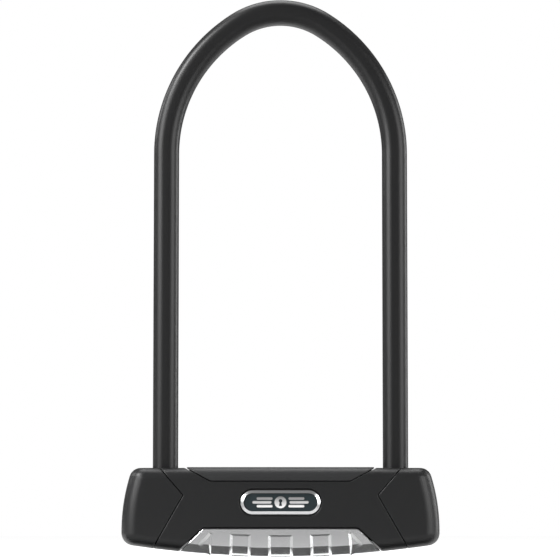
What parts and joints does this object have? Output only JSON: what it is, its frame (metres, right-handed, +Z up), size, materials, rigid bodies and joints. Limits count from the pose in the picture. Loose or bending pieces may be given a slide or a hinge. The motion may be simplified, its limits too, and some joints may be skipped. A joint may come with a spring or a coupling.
{
  "type": "u lock",
  "caption": "Bicycle U lock: a tall arched shackle seats in a padded crossbar, where sliding bolts driven by a key cylinder hold both feet; a shutter covers the keyhole.",
  "frame": {"origin": "under the middle of the crossbar, at the lowest point of its belly", "axes": "+X along the crossbar, -Y out of the badged front, +Z up the shackle"},
  "size_m": [0.1662, 0.038, 0.2989],
  "materials": {
    "hardened_steel": "bare, fine ground",
    "black_coat": "soft semi-gloss coat",
    "charcoal_plastic": "satin, moulded",
    "saddle_plastic": "satin, moulded",
    "silver_plastic": "silver paint, satin",
    "shutter_plastic": "satin, moulded",
    "slate_plate": "dark slate lacquer",
    "bright_trim": "bright, lightly brushed",
    "seal_rubber": "matt",
    "plated_steel": "black plated",
    "guide_nylon": "natural nylon",
    "cylinder_brass": "machined"
  },
  "bodies": {
    "lock_body": {"left_leg_seal": "seal_rubber", "right_leg_seal": "seal_rubber", "front_cover": "charcoal_plastic", "rear_cover": "charcoal_plastic", "left_end_cap": "charcoal_plastic", "right_end_cap": "charcoal_plastic", "top_saddle": "saddle_plastic", "grip_insert": "silver_plastic", "keyway_rail": "charcoal_plastic", "badge_frame": "bright_trim", "badge_plate": "slate_plate", "badge_emblem": "bright_trim", "lock_case": "plated_steel", "left_end_plug": "plated_steel", "right_end_plug": "plated_steel", "plug_pins": "hardened_steel", "left_receiver": "hardened_steel", "right_receiver": "hardened_steel", "left_bolt_guide": "guide_nylon", "right_bolt_guide": "guide_nylon", "cylinder_carrier": "plated_steel", "cylinder_housing": "cylinder_brass", "cylinder_pin": "hardened_steel", "socket_screws": "hardened_steel"},
    "shackle": {"shackle_bar": "hardened_steel", "shackle_sleeve": "black_coat"},
    "key_core": {"cylinder_core": "cylinder_brass", "drill_guard": "hardened_steel", "detainer_discs": "hardened_steel", "disc_spacers": "cylinder_brass", "sidebar": "hardened_steel", "scroll_cam": "plated_steel", "core_clip": "hardened_steel"},
    "left_bolt": {"left_bolt": "hardened_steel"},
    "right_bolt": {"right_bolt": "hardened_steel"},
    "keyhole_shutter": {"keyhole_shutter": "shutter_plastic"}
  },
  "joints": [
    {"name": "shackle_lift", "type": "slide", "parent": "lock_body", "child": "shackle", "axis": [0, 0, 1], "range_m": [0, 0.06]},
    {"name": "key_turn", "type": "hinge", "parent": "lock_body", "child": "key_core", "pos_m": [0, 0, 0.02], "axis": [0, 0, 1], "range_deg": [0, 90]},
    {"name": "left_bolt_slide", "type": "slide", "parent": "lock_body", "child": "left_bolt", "axis": [-1, 0, 0], "range_m": [0, 0.0055]},
    {"name": "right_bolt_slide", "type": "slide", "parent": "lock_body", "child": "right_bolt", "axis": [1, 0, 0], "range_m": [0, 0.0055]},
    {"name": "shutter_slide", "type": "slide", "parent": "lock_body", "child": "keyhole_shutter", "axis": [1, 0, 0], "range_m": [0, 0.0145]}
  ],
  "couplings": [
    {"joint": "left_bolt_slide", "follows": "right_bolt_slide", "ratio": 1},
    {"joint": "key_turn", "follows": "right_bolt_slide", "rad_per_m": 285.6}
  ]
}
